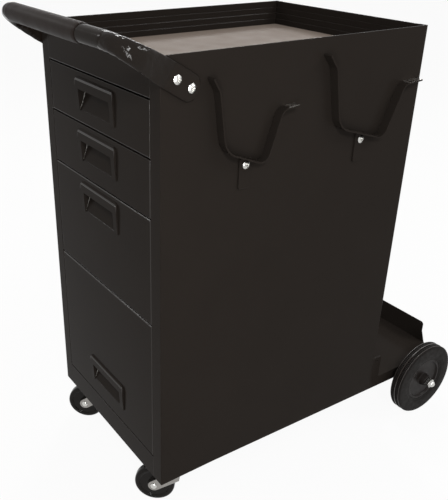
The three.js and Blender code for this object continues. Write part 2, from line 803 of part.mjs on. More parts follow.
piece('rear_axle', rod(axleRadius, [clearance - axleEnd, axleEnd - clearance], axleY, wheelRadius, 16), zinc);
sides.forEach(([name, side]) => {
  const wheel = new THREE.Group();
  wheel.position.set(0, axleY, wheelRadius);
  wheel.rotation.z = side > 0 ? 0 : Math.PI;
  cart.add(wheel);
  piece(`wheel_tyre_${name}`, tyre(), rubber, wheel);
  piece(`wheel_hub_${name}`, hub(), mould, wheel);
  piece(`axle_nut_${name}`, capNut(), zinc, wheel);
});

// Casters: top plate with its kingpin, swivel fork, wheel and axle rivet, in the swivel's own frame
const plateTop = baseTop - sheet - clearance;
const raceTop = plateTop - casterPlateThickness;
const crownTop = raceTop - raceHeight - clearance;
const crownBottom = crownTop - crownHeight;
const forkHalf = casterWidth / 2 + forkGap;

function post(radius, limits, facets) {
  return rod(radius, limits, 0, 0, facets).rotateY(-Math.PI / 2);
}

function casterTopPlate() {
  const half = casterPlate / 2;
  const headTop = crownBottom - clearance;
  const headBottom = headTop - kingpinHead.height;
  return join(
    slab([-half, half], [-half, half], [raceTop, plateTop]),
    post(raceRadius, [raceTop - raceHeight, plateTop - casterPlateThickness / 2], 24),
    post(kingpinRadius, [headBottom + kingpinHead.height / 2, raceTop], 16),
    post(kingpinHead.radius, [headBottom, headTop], 16),
  );
}

// The wheel trails along -Y and turns about X, before the whole caster is turned
function casterFork() {
  const halfOuter = forkHalf + forkPlate;
  const lean = THREE.MathUtils.degToRad(forkLean);
  const eye = Array.from({ length: 9 }, (_, k) => {
    const angle = lean + Math.PI / 2 + (Math.PI * k) / 8;
    return [forkEye * Math.cos(angle) - casterTrail, casterRadius + forkEye * Math.sin(angle)];
  });
  const rise = ([y, z], knee) => [knee, z + (knee - y) * Math.tan(lean)];
  const leg = [
    ...eye, rise(eye.at(-1), forkKnee.rear), [forkCrown.rear, crownBottom], [forkCrown.rear, crownTop],
    [-forkCrown.front, crownTop], [-forkCrown.front, crownBottom], rise(eye[0], -forkKnee.front),
  ];
  const legs = sides.map(([, side]) => prism('x', leg, [side * forkHalf, side * halfOuter]));
  const crown = slab([-halfOuter, halfOuter], [-forkCrown.front, forkCrown.rear], [crownBottom, crownTop]);
  const span = [-halfOuter - sheet, halfOuter + sheet];
  return cut(
    join(crown, ...legs),
    post(kingpinRadius + clearance, [crownBottom - sheet, crownTop + sheet], 16),
    rod(casterAxle.radius + clearance, span, -casterTrail, casterRadius, 16),
  );
}

function casterWheel() {
  const half = casterWidth / 2;
  const bore = casterAxle.radius + clearance;
  const { boss, rim, dish, edge: tread } = casterDisc;
  const near = [
    [bore, -half], [boss, -half], [boss + 1, dish - half], [rim, dish - half], [rim + 1, 1 - half],
    [casterRadius - tread / 2, 1 - half], [casterRadius, tread - half],
  ];
  const far = near.map(([radius, x]) => [radius, -x]).reverse();
  return turnedRing([...near, ...far], 28).translate(0, -casterTrail, casterRadius);
}

function casterRivet() {
  const out = forkHalf + forkPlate + clearance;
  const { radius, head, headHeight } = casterAxle;
  return turned([
    [0, -out - headHeight], [head * 0.7, -out - headHeight], [head, -out], [radius, -out],
    [radius, out], [head, out], [head * 0.7, out + headHeight], [0, out + headHeight],
  ], 16).translate(0, -casterTrail, casterRadius);
}

sides.forEach(([name, side]) => {
  const place = [side * (halfWidth - casterFromSide), front + casterFromFront, 0];
  const mount = new THREE.Group();
  mount.position.set(...place);
  const swivel = new THREE.Group();
  swivel.position.set(...place);
  swivel.rotation.z = THREE.MathUtils.degToRad(casterTurn);
  cart.add(mount, swivel);
  piece(`caster_plate_${name}`, casterTopPlate(), zinc, mount);
  piece(`caster_fork_${name}`, casterFork(), zinc, swivel);
  piece(`caster_wheel_${name}`, casterWheel(), rubber, swivel);
  piece(`caster_rivet_${name}`, casterRivet(), zinc, swivel);
});

const weldingCart = new THREE.Group();
weldingCart.add(cart);

export default weldingCart;
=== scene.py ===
"""Welding cart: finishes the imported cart's sheet metal, handle, wheels and casters for a studio picture."""
import json
import math

import bpy
from bpy.props import FloatProperty, FloatVectorProperty, IntProperty, PointerProperty, StringProperty
from bpy.types import Operator, Panel, PropertyGroup
from mathutils import Matrix, Vector, noise

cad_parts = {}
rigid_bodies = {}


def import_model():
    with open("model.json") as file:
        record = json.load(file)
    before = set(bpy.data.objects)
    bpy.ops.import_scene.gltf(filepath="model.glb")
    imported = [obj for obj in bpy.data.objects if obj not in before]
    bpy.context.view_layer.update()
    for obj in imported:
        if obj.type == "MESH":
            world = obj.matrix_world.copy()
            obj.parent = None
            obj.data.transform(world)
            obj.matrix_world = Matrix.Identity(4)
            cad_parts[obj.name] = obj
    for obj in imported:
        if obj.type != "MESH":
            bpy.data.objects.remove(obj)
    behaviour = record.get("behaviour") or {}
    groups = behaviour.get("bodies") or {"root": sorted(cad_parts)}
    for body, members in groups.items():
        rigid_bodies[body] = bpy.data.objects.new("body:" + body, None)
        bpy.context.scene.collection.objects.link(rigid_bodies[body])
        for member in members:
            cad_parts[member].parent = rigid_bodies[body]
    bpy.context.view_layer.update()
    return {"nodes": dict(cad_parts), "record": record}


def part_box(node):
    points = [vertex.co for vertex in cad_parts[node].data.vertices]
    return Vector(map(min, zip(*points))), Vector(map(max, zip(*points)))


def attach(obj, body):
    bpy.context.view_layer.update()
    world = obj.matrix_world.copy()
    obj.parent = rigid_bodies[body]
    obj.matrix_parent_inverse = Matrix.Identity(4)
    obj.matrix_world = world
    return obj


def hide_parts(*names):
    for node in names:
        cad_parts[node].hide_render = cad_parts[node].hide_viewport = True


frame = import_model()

bl_info = {
    "name": "Welding Cart",
    "version": (1, 0, 0),
    "blender": (4, 5, 0),
    "location": "3D View > Sidebar > Cart",
    "description": "Models and finishes a welding cart around its packed frame",
    "category": "Object",
}

MM = 0.001
BEHAVIOUR = frame["record"]["behaviour"]
BODY_OF = {node: body for body, nodes in BEHAVIOUR["bodies"].items() for node in nodes}
DRAWERS = ("drawer_1", "drawer_2", "drawer_3")
SIDES = (("right", 1), ("left", -1))


def middle(node):
    """The middle of a node's box."""
    low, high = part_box(node)
    return (Vector(low) + Vector(high)) / 2


def extent(node):
    """The size of a node's box."""
    low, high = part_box(node)
    return Vector(high) - Vector(low)


PANEL_LOW, PANEL_HIGH = (Vector(corner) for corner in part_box("side_panel_right"))
HALF_WIDTH = PANEL_HIGH.x
FRONT, REAR = PANEL_LOW.y, PANEL_HIGH.y
BOTTOM, TOP = PANEL_LOW.z, PANEL_HIGH.z
CROSSBAR = middle("handle_grip")
HANDLE_FOOT = middle("handle_screw_rear_right")
HANDLE_KNEE = middle("handle_screw_front_right")
ARM_TILT = math.atan2(HANDLE_KNEE.z - HANDLE_FOOT.z, HANDLE_FOOT.y - HANDLE_KNEE.y)
ARM_LENGTH = math.hypot(CROSSBAR.z - HANDLE_FOOT.z, CROSSBAR.y - HANDLE_FOOT.y)


class CartSizes(PropertyGroup):
    """Sizes of the finish that the frame leaves open."""

    edge_round: FloatProperty(
        name="Edge Rounding", description="Rounding of each cut sheet edge", default=0.35 * MM, unit="LENGTH")
    fold_round: FloatProperty(
        name="Fold Radius", description="Outer radius of a folded corner", default=2.2 * MM, unit="LENGTH")
    stamp_round: FloatProperty(
        name="Stamping Radius", description="Outer radius of a pull's hood", default=2.2 * MM, unit="LENGTH")
    tube_radius: FloatProperty(
        name="Tube Radius", description="Outer radius of the handle's tube", default=12 * MM, unit="LENGTH")
    handle_bend: FloatProperty(
        name="Handle Bend", description="Radius of the handle's bends at the tube's axis", default=42 * MM,
        unit="LENGTH")
    arm_flat: FloatProperty(
        name="Arm Flat", description="Thickness of the handle's flattened ends", default=6 * MM, unit="LENGTH")
    arm_height: FloatProperty(
        name="Arm Height", description="Height of the handle's flattened ends", default=35 * MM, unit="LENGTH")
    arm_gap: FloatProperty(
        name="Arm Gap", description="From the cabinet's side to the arms", default=0.3 * MM, unit="LENGTH")
    arm_end: FloatProperty(
        name="Arm End", description="Flattened end past the rear screw", default=11 * MM, unit="LENGTH")
    crumple: FloatProperty(
        name="Bend Crumple", description="Depth of the dents beside the bends", default=0.6 * MM,
        unit="LENGTH")
    serrations: IntProperty(
        name="Tread Serrations", description="Cross cuts round a rear tyre", default=132, min=24, max=400)


class CartColours(PropertyGroup):
    """Colours of the cart's finishes, as sRGB hex values."""

    paint: StringProperty(name="Paint", description="Powder coat on the sheets", default="#231f1c")
    fold: StringProperty(name="Folds", description="Powder coat on folds and edges", default="#25211e")
    # Colour of the bright metal that is painted as a glint on the pulls' inside corners and the hooks' tips.
    painted_glint: StringProperty(name="Painted Glint", description="Bright metal painted where a glint shows", default="#e2dfda")
    enamel: StringProperty(name="Handle Enamel", description="Enamel on the handle's tube", default="#221e1b")
    wrinkle: StringProperty(name="Bend Enamel", description="Enamel on the handle's bends", default="#18130f")
    zinc: StringProperty(name="Zinc", description="Bright zinc plate", default="#cbcac6")
    pressed: StringProperty(name="Pressings", description="Zinc on the casters' pressings", default="#9a9793")
    galvanised: StringProperty(name="Galvanised", description="Dull zinc on the runners", default="#8f908d")
    tyre: StringProperty(name="Tyre", description="Rear tyres", default="#120f0d")
    hub: StringProperty(name="Hub", description="Moulded hubs", default="#161210")
    # Lighter colour of the tyre ribs, a painted highlight.
    rib_highlight: StringProperty(name="Tyre Rib Highlights", description="Lighter ribs of the rear tyres, a painted highlight", default="#3a3532")
    roller: StringProperty(name="Caster Wheel", description="Caster wheels", default="#14110f")
    sleeve: StringProperty(name="Grip Sleeve", description="Vinyl sleeve on the handle", default="#221c19")
    mat: StringProperty(name="Mat", description="Rubber mat in the tray", default="#665b52")
    floor: StringProperty(name="Floor", description="Studio floor", default="#cfcecd")


class CartStage(PropertyGroup):
    """The camera's place and the lamps' levels."""

    camera_place: FloatVectorProperty(
        name="Camera", description="Camera's place in the cart's frame", default=(0.8826, -0.7497, 0.9241),
        subtype="TRANSLATION", unit="LENGTH")
    azimuth: FloatProperty(
        name="Azimuth", description="Camera's direction about the cart", default=math.radians(56.14),
        subtype="ANGLE")
    elevation: FloatProperty(
        name="Elevation", description="Camera's height angle", default=math.radians(26.67), subtype="ANGLE")
    roll: FloatProperty(name="Roll", description="Camera's roll", default=math.radians(0.63), subtype="ANGLE")
    lens: FloatProperty(name="Lens", description="Focal length on a 36 mm frame", default=49.89, unit="CAMERA")
    shift: FloatVectorProperty(
        name="Shift", description="Lens shift of the photograph's framing", default=(0.088, 0.010), size=2)
    sky: FloatProperty(name="Sky Level", description="Light from all round", default=0.42, min=0.0)
    glow: FloatProperty(
        name="Floor Glow", description="Share of plain white where the floor is seen", default=0.94, min=0.0,
        max=1.0)
    key: FloatProperty(name="Key Lamp", description="Lamp above the left front", default=12.0, unit="POWER")
    edge: FloatProperty(name="Edge Lamp", description="Lamp above the right rear", default=26.0, unit="POWER")
    rear: FloatProperty(name="Rear Lamp", description="Long lamp at the left rear", default=22.0, unit="POWER")
    top: FloatProperty(name="Top Lamp", description="Small lamp above the tray", default=16.0, unit="POWER")
    fill: FloatProperty(name="Fill Lamp", description="Lamp above the right front", default=40.0, unit="POWER")
    strip: FloatProperty(
        name="Strip Lamp", description="Upright strip by the camera", default=4.5, unit="POWER")


# Choosing and shaping

def pick(piece):
    """Makes one piece the only selected and the active one."""
    active = bpy.context.view_layer.objects.active
    if active and active.mode != "OBJECT":
        bpy.ops.object.mode_set(mode="OBJECT")
    bpy.ops.object.select_all(action="DESELECT")
    piece.select_set(True)
    bpy.context.view_layer.objects.active = piece


def edit(piece, kind="VERT"):
    """Opens a piece in edit mode with nothing selected."""
    pick(piece)
    bpy.ops.object.mode_set(mode="EDIT")
    bpy.ops.mesh.select_mode(type=kind)
    bpy.ops.mesh.select_all(action="DESELECT")


def done():
    """Leaves edit mode."""
    bpy.ops.object.mode_set(mode="OBJECT")


def choose_edges(piece, chosen):
    """Selects the edges whose two ends pass a test, and stays in edit mode."""
    edit(piece, "EDGE")
    done()
    points = piece.data.vertices
    for edge in piece.data.edges:
        edge.select = chosen(*(points[i].co for i in edge.vertices))
    bpy.ops.object.mode_set(mode="EDIT")


def near(value, target, tolerance=0.02 * MM):
    """Whether two places agree."""
    return abs(value - target) < tolerance


def new_piece(name, points, edges):
    """A piece that starts as a line of points, in millimetres."""
    mesh = bpy.data.meshes.new(name)
    mesh.from_pydata([[c * MM for c in point] for point in points], edges, [])
    piece = bpy.data.objects.new(name, mesh)
    bpy.context.collection.objects.link(piece)
    return piece


def named(name):
    """Names the primitive that was just added."""
    piece = bpy.context.object
    piece.name = name
    piece.data.name = name
    return piece


def place(piece, spot=(0, 0, 0), turn=(0, 0, 0)):
    """Moves and turns a piece, and puts that into its mesh."""
    pick(piece)
    piece.location = spot
    piece.rotation_euler = turn
    bpy.ops.object.transform_apply(location=True, rotation=True, scale=True)


def shade(piece, angle=35):
    """Smooths a piece except at its sharp edges, and keeps large faces flat."""
    pick(piece)
    bpy.ops.object.shade_smooth_by_angle(angle=math.radians(angle))
    flat = piece.modifiers.new("Flat faces", "WEIGHTED_NORMAL")
    flat.keep_sharp = True
    bpy.ops.object.modifier_apply(modifier=flat.name)


def round_edges(piece, width, segments=2, angle=40, slot=1):
    """Rounds every edge sharper than an angle, in the finish of a slot."""
    pick(piece)
    bevel = piece.modifiers.new("Rounded edges", "BEVEL")
    bevel.width = width
    bevel.segments = segments
    bevel.limit_method = "ANGLE"
    bevel.angle_limit = math.radians(angle)
    bevel.material = slot
    bpy.ops.object.modifier_apply(modifier=bevel.name)


def fold_edges(piece, chosen, width, segments=4, slot=1):
    """Rounds the chosen edges, as a fold in sheet metal is round, in the finish of a slot."""
    choose_edges(piece, chosen)
    bpy.ops.mesh.bevel(offset=width, segments=segments, affect="EDGES", clamp_overlap=True, material=slot)
    done()


def sheet_copy(node, name, *finishes):
    """A merged copy of a node, with whole flat faces in place of triangles, and its finishes."""
    piece = bpy.data.objects.new(name, frame["nodes"][node].data.copy())
    bpy.context.collection.objects.link(piece)
    piece.data.materials.clear()
    for skin in finishes or ("paint", "fold"):
        piece.data.materials.append(material(skin))
    edit(piece)
    bpy.ops.mesh.select_all(action="SELECT")
    bpy.ops.mesh.remove_doubles(threshold=0.01 * MM)
    bpy.ops.mesh.dissolve_limited(angle_limit=math.radians(0.5))
    done()
    return piece


def turned(name, profile, steps=64, closed=True, soft=0.0, segments=3):
    """Spins (x, radius) points, in millimetres, about the X axis; soft rounds the profile's corners."""
    points = [(x, 0, radius) for x, radius in profile]
    edges = [(i, i + 1) for i in range(len(points) - 1)]
    if closed:
        edges.append((len(points) - 1, 0))
    piece = new_piece(name, points, edges)
    edit(piece)
    bpy.ops.mesh.select_all(action="SELECT")
    if soft:
        bpy.ops.mesh.bevel(offset=soft * MM, segments=segments, affect="VERTICES", clamp_overlap=True)
        bpy.ops.mesh.select_all(action="SELECT")
    bpy.ops.mesh.spin(steps=steps, angle=math.tau, center=(0, 0, 0), axis=(1, 0, 0))
    bpy.ops.mesh.select_all(action="SELECT")
    bpy.ops.mesh.remove_doubles(threshold=0.005 * MM)
    bpy.ops.mesh.normals_make_consistent(inside=False)
    done()
    return piece


def copy_of(piece, name):
    """A copy of a piece with its own mesh."""
    twin = piece.copy()
    twin.data = piece.data.copy()
    twin.name = name
    twin.data.name = name
    bpy.context.collection.objects.link(twin)
    return twin


def join(pieces, name):
    """Joins pieces into one."""
    pick(pieces[0])
    for piece in pieces:
        piece.select_set(True)
    bpy.ops.object.join()
    return named(name)


def fit(piece, *nodes):
    """Gives a finished piece its body, and hides the nodes that it stands for."""
    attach(piece, BODY_OF[nodes[0]])
    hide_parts(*nodes)


def finish(piece, skin, *nodes):
    """Gives a finished piece one finish all over, and fits it."""
    piece.data.materials.clear()
    piece.data.materials.append(material(skin))
    fit(piece, *nodes)


# Materials

def linear(hex_value):
    """An sRGB hex value as a linear colour."""
    shares = [int(hex_value[i:i + 2], 16) / 255 for i in (1, 3, 5)]
    return [s / 12.92 if s <= 0.04045 else ((s + 0.055) / 1.055) ** 2.4 for s in shares] + [1.0]


def shifted(colour, share):
    """A linear colour made lighter or darker by a share."""
    return [channel * share for channel in colour[:3]] + [1.0]


def per_metre(size_mm):
    """The scale of a pattern whose features are this many millimetres."""
    return 1000.0 / size_mm


def add(tree, kind, values=None, links=None, **settings):
    """Adds a node with its settings, input values and links."""
    made = tree.nodes.new(kind)
    for key, value in settings.items():
        setattr(made, key, value)
    for key, value in (values or {}).items():
        made.inputs[key].default_value = value
    for key, socket in (links or {}).items():
        tree.links.new(socket, made.inputs[key])
    return made


def surface(name, colour, shader, tone, rough, grain, spot=None):
    """A procedural surface.

    tone is (size in mm, dark share, light share), rough is (size in mm, smooth, rough) and
    grain is (size in mm, bump depth in mm); spot names the texture of the tone, noise by default.
    """
    material = bpy.data.materials.new(name)
    material.use_nodes = True
    tree = material.node_tree
    tree.nodes.clear()
    coords = add(tree, "ShaderNodeTexCoord").outputs["Object"]
    size, dark, light = tone
    if spot == "spangle":
        cells = add(tree, "ShaderNodeTexVoronoi", {"Scale": per_metre(size)}, {"Vector": coords})
        blotch = add(tree, "ShaderNodeSeparateColor", links={"Color": cells.outputs["Color"]}).outputs["Red"]
    else:
        clouds = {"Scale": per_metre(size), "Detail": 3.0}
        blotch = add(tree, "ShaderNodeTexNoise", clouds, {"Vector": coords}).outputs["Fac"]
    mix = add(tree, "ShaderNodeMix", links={"Factor": blotch}, data_type="RGBA")
    mix.inputs[6].default_value = shifted(colour, dark)
    mix.inputs[7].default_value = shifted(colour, light)
    size, smooth, coarse = rough
    smear = add(tree, "ShaderNodeTexNoise", {"Scale": per_metre(size), "Detail": 4.0}, {"Vector": coords})
    ranges = {"From Min": 0.3, "From Max": 0.7, "To Min": smooth, "To Max": coarse}
    roughness = add(tree, "ShaderNodeMapRange", ranges, {"Value": smear.outputs["Fac"]})
    size, depth = grain
    bits = add(tree, "ShaderNodeTexNoise", {"Scale": per_metre(size), "Detail": 2.0}, {"Vector": coords})
    bump = add(tree, "ShaderNodeBump", {"Distance": depth * MM}, {"Height": bits.outputs["Fac"]})
    links = {
        "Base Color": mix.outputs[2],
        "Roughness": roughness.outputs["Result"],
        "Normal": bump.outputs["Normal"],
    }
    body = add(tree, "ShaderNodeBsdfPrincipled", shader, links)
    add(tree, "ShaderNodeOutputMaterial", links={"Surface": body.outputs["BSDF"]})
    return material


def seen_rays(tree):
    """A value that is 1 for what the camera sees, straight, in a reflection or through glass."""
    path = add(tree, "ShaderNodeLightPath").outputs
    straight, mirrored, through = path["Is Camera Ray"], path["Is Glossy Ray"], path["Is Transmission Ray"]
    either = add(tree, "ShaderNodeMath", links={0: straight, 1: mirrored}, operation="MAXIMUM").outputs[0]
    return add(tree, "ShaderNodeMath", links={0: either, 1: through}, operation="MAXIMUM").outputs[0]


MATERIALS = {}


def material(name):
    """A finish by its short name, made once."""
    if name not in MATERIALS:
        colours = bpy.context.scene.cart_colours
        MATERIALS[name] = FINISHES[name](linear(getattr(colours, name)))
    return MATERIALS[name]


def powder_coat(colour):
    # Powder coat cures to a satin skin with a faint orange peel, so that reflections are soft and broken.
    return surface(
        "Powder-coated steel, satin black", colour, {"Specular IOR Level": 0.012},
        tone=(110, 0.92, 1.08), rough=(45, 0.14, 0.24), grain=(1.8, 0.02))


def thin_coat(colour):
    # Over a fold the coat draws thin and tight, and hands polish it, so that it shines where the sheets don't.
    return surface(
        "Powder-coated steel, polished folds", colour, {"Specular IOR Level": 0.25},
        tone=(110, 0.92, 1.08), rough=(45, 0.12, 0.2), grain=(1.8, 0.005))


def painted_glint_coat(colour):
    # Bright metal on the pulls' slanted inside corners and on the hooks' tips: a painted glint that stands in
    # for the lamps' highlight there.
    return surface(
        "Bright metal, painted glint on powder coat", colour, {"Metallic": 1.0},
        tone=(8, 0.85, 1.05), rough=(5, 0.2, 0.32), grain=(1.0, 0.01))


def enamel(colour):
    # Sprayed enamel on the tube is smoother than the sheets, with a film that draws highlights out.
    return surface(
        "Enamelled steel tube, semi-gloss black", colour, {"Specular IOR Level": 0.02},
        tone=(60, 0.9, 1.1), rough=(20, 0.1, 0.16), grain=(30.0, 0.1))


def wrinkled_enamel(colour):
    # Where the tube was pressed flat its skin is puckered, and each pucker catches a glint of its own.
    return surface(
        "Enamelled steel tube, puckered gloss black", colour, {"Specular IOR Level": 0.13},
        tone=(60, 0.9, 1.1), rough=(20, 0.06, 0.1), grain=(4.5, 0.5))


def zinc_plate(colour):
    # Bright zinc plate is a pale metal with slightly cloudy reflections.
    return surface(
        "Zinc-plated steel, bright", colour, {"Metallic": 1.0},
        tone=(3, 0.82, 1.05), rough=(4, 0.18, 0.34), grain=(0.8, 0.01))


def zinc_pressing(colour):
    # A deep-drawn pressing is plated after it is tumbled, so that it is duller and more cloudy than a screw.
    return surface(
        "Zinc-plated steel, tumbled", colour, {"Metallic": 1.0},
        tone=(5, 0.75, 1.05), rough=(6, 0.3, 0.46), grain=(1.2, 0.02))


def galvanised_sheet(colour):
    # Hot-dip zinc freezes into flat crystals, which show as patches of slightly different grey.
    return surface(
        "Galvanised steel, spangled", colour, {"Metallic": 1.0},
        tone=(7, 0.7, 1.0), rough=(6, 0.35, 0.5), grain=(1.0, 0.01), spot="spangle")


def tyre_rubber(colour):
    # Moulded rubber is a dull black with a fine matt grain from the mould.
    return surface(
        "Moulded rubber, matt black", colour, {"Specular IOR Level": 0.1},
        tone=(25, 0.8, 1.2), rough=(8, 0.5, 0.68), grain=(0.7, 0.05))


def rib_highlight_rubber(colour):
    # The ribs get a much lighter colour than the tyre, a painted highlight along them, and a shinier surface
    # that catches the lamps.
    return surface(
        "Moulded rubber, ribs with painted highlight", colour, {"Specular IOR Level": 0.5},
        tone=(25, 0.85, 1.15), rough=(8, 0.22, 0.34), grain=(0.9, 0.02))


def hub_plastic(colour):
    # Moulded polypropylene has an even satin grain.
    return surface(
        "Moulded polypropylene, satin black", colour, {"Specular IOR Level": 0.1},
        tone=(30, 0.88, 1.12), rough=(12, 0.34, 0.48), grain=(0.9, 0.03))


def roller_rubber(colour):
    # Hard caster rubber comes out of a polished mould with a shine.
    return surface(
        "Moulded hard rubber, polished black", colour, {"Specular IOR Level": 0.12},
        tone=(20, 0.85, 1.15), rough=(10, 0.1, 0.18), grain=(2.5, 0.02))


def vinyl_sleeve(colour):
    # A dipped vinyl sleeve has a soft even sheen and a slight drag grain.
    return surface(
        "Dipped vinyl, satin black", colour, {"Specular IOR Level": 0.03},
        tone=(40, 0.9, 1.1), rough=(18, 0.36, 0.46), grain=(1.4, 0.03))


def rubber_mat(colour):
    # Sheet rubber is flat and dull, with a fine stipple from the calender.
    return surface(
        "Calendered rubber sheet, warm grey", colour, {"Specular IOR Level": 0.25},
        tone=(60, 0.94, 1.05), rough=(30, 0.6, 0.75), grain=(1.6, 0.05))


def studio_floor(colour):
    # A pale seamless floor, dull enough to show no reflection.
    return surface(
        "Painted studio floor, pale", colour, {"Specular IOR Level": 0.0},
        tone=(400, 0.99, 1.0), rough=(300, 0.85, 0.9), grain=(40, 0.01))


FINISHES = {
    "paint": powder_coat,
    "fold": thin_coat,
    "painted_glint": painted_glint_coat,
    "enamel": enamel,
    "wrinkle": wrinkled_enamel,
    "zinc": zinc_plate,
    "pressed": zinc_pressing,
    "galvanised": galvanised_sheet,
    "tyre": tyre_rubber,
    "rib_highlight": rib_highlight_rubber,
    "hub": hub_plastic,
    "roller": roller_rubber,
    "sleeve": vinyl_sleeve,
    "mat": rubber_mat,
    "floor": studio_floor,
}


# Operators

class CART_OT_stage(Operator):
    """Sets up the floor, the lamps, the sky and the camera"""

    bl_idname = "cart.stage"
    bl_label = "Set Up Stage"

    def execute(self, context):
        stage = context.scene.cart_stage
        self.lay_floor(stage.glow)
        self.light_sky(context.scene, stage.sky)
        aim = Vector((0, 0, 0.4))
        self.hang_lamp("Key lamp", (-2.2, -1.5, 2.1), aim, (0.45, 0.45), stage.key)
        self.hang_lamp("Edge lamp", (1.6, 1.7, 2.5), aim, (1.2, 0.3), stage.edge)
        self.hang_lamp("Rear lamp", (-1.75, 1.2, 2.0), aim, (1.8, 0.15), stage.rear)
        self.hang_lamp("Top lamp", (-0.8, 0.35, 2.85), aim, (0.2, 0.2), stage.top)
        self.hang_lamp("Fill lamp", (2.2, -1.2, 2.2), aim, (0.45, 0.45), stage.fill)
        self.hang_lamp("Strip lamp", (0.95, -0.8, 0.6), Vector((0, 0, 0.6)), (0.08, 0.6), stage.strip)
        self.set_camera(context.scene, stage)
        context.scene.view_settings.view_transform = "Standard"
        return {"FINISHED"}

    def lay_floor(self, glow):
        """A wide floor whose pale colour is lifted to white where it is seen, and which keeps the shadow."""
        bpy.ops.object.select_all(action="DESELECT")
        bpy.ops.mesh.primitive_plane_add(size=60, location=(0, 0, 0))
        floor = named("studio_floor")
        floor.data.materials.append(material("floor"))
        tree = floor.data.materials[0].node_tree
        output = tree.nodes["Material Output"]
        body = output.inputs["Surface"].links[0].from_socket
        share = add(tree, "ShaderNodeMath", {1: glow}, {0: seen_rays(tree)}, operation="MULTIPLY").outputs[0]
        white = add(tree, "ShaderNodeEmission", {"Strength": 1.0}).outputs["Emission"]
        both = add(tree, "ShaderNodeMixShader", links={0: share, 1: body, 2: white}).outputs["Shader"]
        tree.links.new(both, output.inputs["Surface"])

    def light_sky(self, scene, level):
        """An even sky that is white where the camera, a reflection or glass sees it."""
        sky = bpy.data.worlds.new("Studio sky")
        scene.world = sky
        sky.use_nodes = True
        tree = sky.node_tree
        tree.nodes.clear()
        ranges = {"To Min": level, "To Max": 1.0}
        strength = add(tree, "ShaderNodeMapRange", ranges, {"Value": seen_rays(tree)}).outputs["Result"]
        light = add(tree, "ShaderNodeBackground", {"Color": (1, 1, 1, 1)}, {"Strength": strength})
        add(tree, "ShaderNodeOutputWorld", links={"Surface": light.outputs["Background"]})

    def hang_lamp(self, name, spot, aim, size, power):
        """A softbox that faces the cart."""
        lamp = bpy.data.lights.new(name, "AREA")
        lamp.shape = "RECTANGLE"
        lamp.size, lamp.size_y = size
        lamp.energy = power
        hung = bpy.data.objects.new(name, lamp)
        hung.location = spot
        hung.rotation_euler = (aim - Vector(spot)).to_track_quat("-Z", "Y").to_euler()
        bpy.context.collection.objects.link(hung)

    def set_camera(self, scene, stage):
        """The camera, from its azimuth, elevation and roll."""
        sight = bpy.data.cameras.new("Camera")
        sight.lens = stage.lens
        sight.shift_x, sight.shift_y = stage.shift
        camera = bpy.data.objects.new("Camera", sight)
        bpy.context.collection.objects.link(camera)
        turn = Matrix.Rotation(stage.azimuth, 3, "Z") @ Matrix.Rotation(math.pi / 2 - stage.elevation, 3, "X")
        turn = turn @ Matrix.Rotation(stage.roll, 3, "Z")
        camera.matrix_world = Matrix.Translation(stage.camera_place) @ turn.to_4x4()
        scene.camera = camera


class CART_OT_panels(Operator):
    """Folds the cabinet's panels, rails, base and shelf"""

    bl_idname = "cart.panels"
    bl_label = "Fold Panels"

    def execute(self, context):
        sizes = context.scene.cart_sizes
        for side, sign in SIDES:
            self.side_panel(side, sign * HALF_WIDTH, sizes)
        for node in ("front_top_rail", "front_bottom_rail"):
            rail = sheet_copy(node, node + "_folded")
            low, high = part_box(node)
            fold_z = low[2] if node == "front_top_rail" else high[2]
            fold_edges(rail, lambda a, b: all(near(p.y, FRONT) and near(p.z, fold_z) for p in (a, b)),
                       sizes.fold_round / 2)
            self.finish(rail, node, sizes)
        for node in ("rear_panel", "base_pan", "compartment_shelf"):
            self.finish(sheet_copy(node, node + "_folded"), node, sizes)
        return {"FINISHED"}

    def side_panel(self, side, outer, sizes):
        """A skin whose front and rear corners are folds."""
        node = f"side_panel_{side}"
        panel = sheet_copy(node, node + "_folded")
        for corner in (FRONT, REAR):
            fold_edges(panel, lambda a, b: all(near(p.x, outer) and near(p.y, corner) for p in (a, b)),
                       sizes.fold_round, slot=0)
        self.finish(panel, node, sizes)

    def finish(self, piece, node, sizes):
        """Rounds the cut edges, smooths the piece's shading and fits it."""
        round_edges(piece, sizes.edge_round)
        shade(piece)
        fit(piece, node)


class CART_OT_tray(Operator):
    """Presses the tray and lays its mat"""

    bl_idname = "cart.tray"
    bl_label = "Press Tray"

    def execute(self, context):
        sizes = context.scene.cart_sizes
        pan = sheet_copy("tray_pan", "tray_pan_pressed")
        round_edges(pan, sizes.edge_round, slot=0)
        for face in pan.data.polygons:
            along_side = abs(face.center.x) > HALF_WIDTH - 9 * MM
            face.material_index = int(along_side and face.normal.z > 0.3)
        shade(pan)
        fit(pan, "tray_pan")
        mat = sheet_copy("tray_mat", "tray_mat_sheet", "mat")
        round_edges(mat, 1.2 * MM, 3)
        shade(mat)
        fit(mat, "tray_mat")
        return {"FINISHED"}


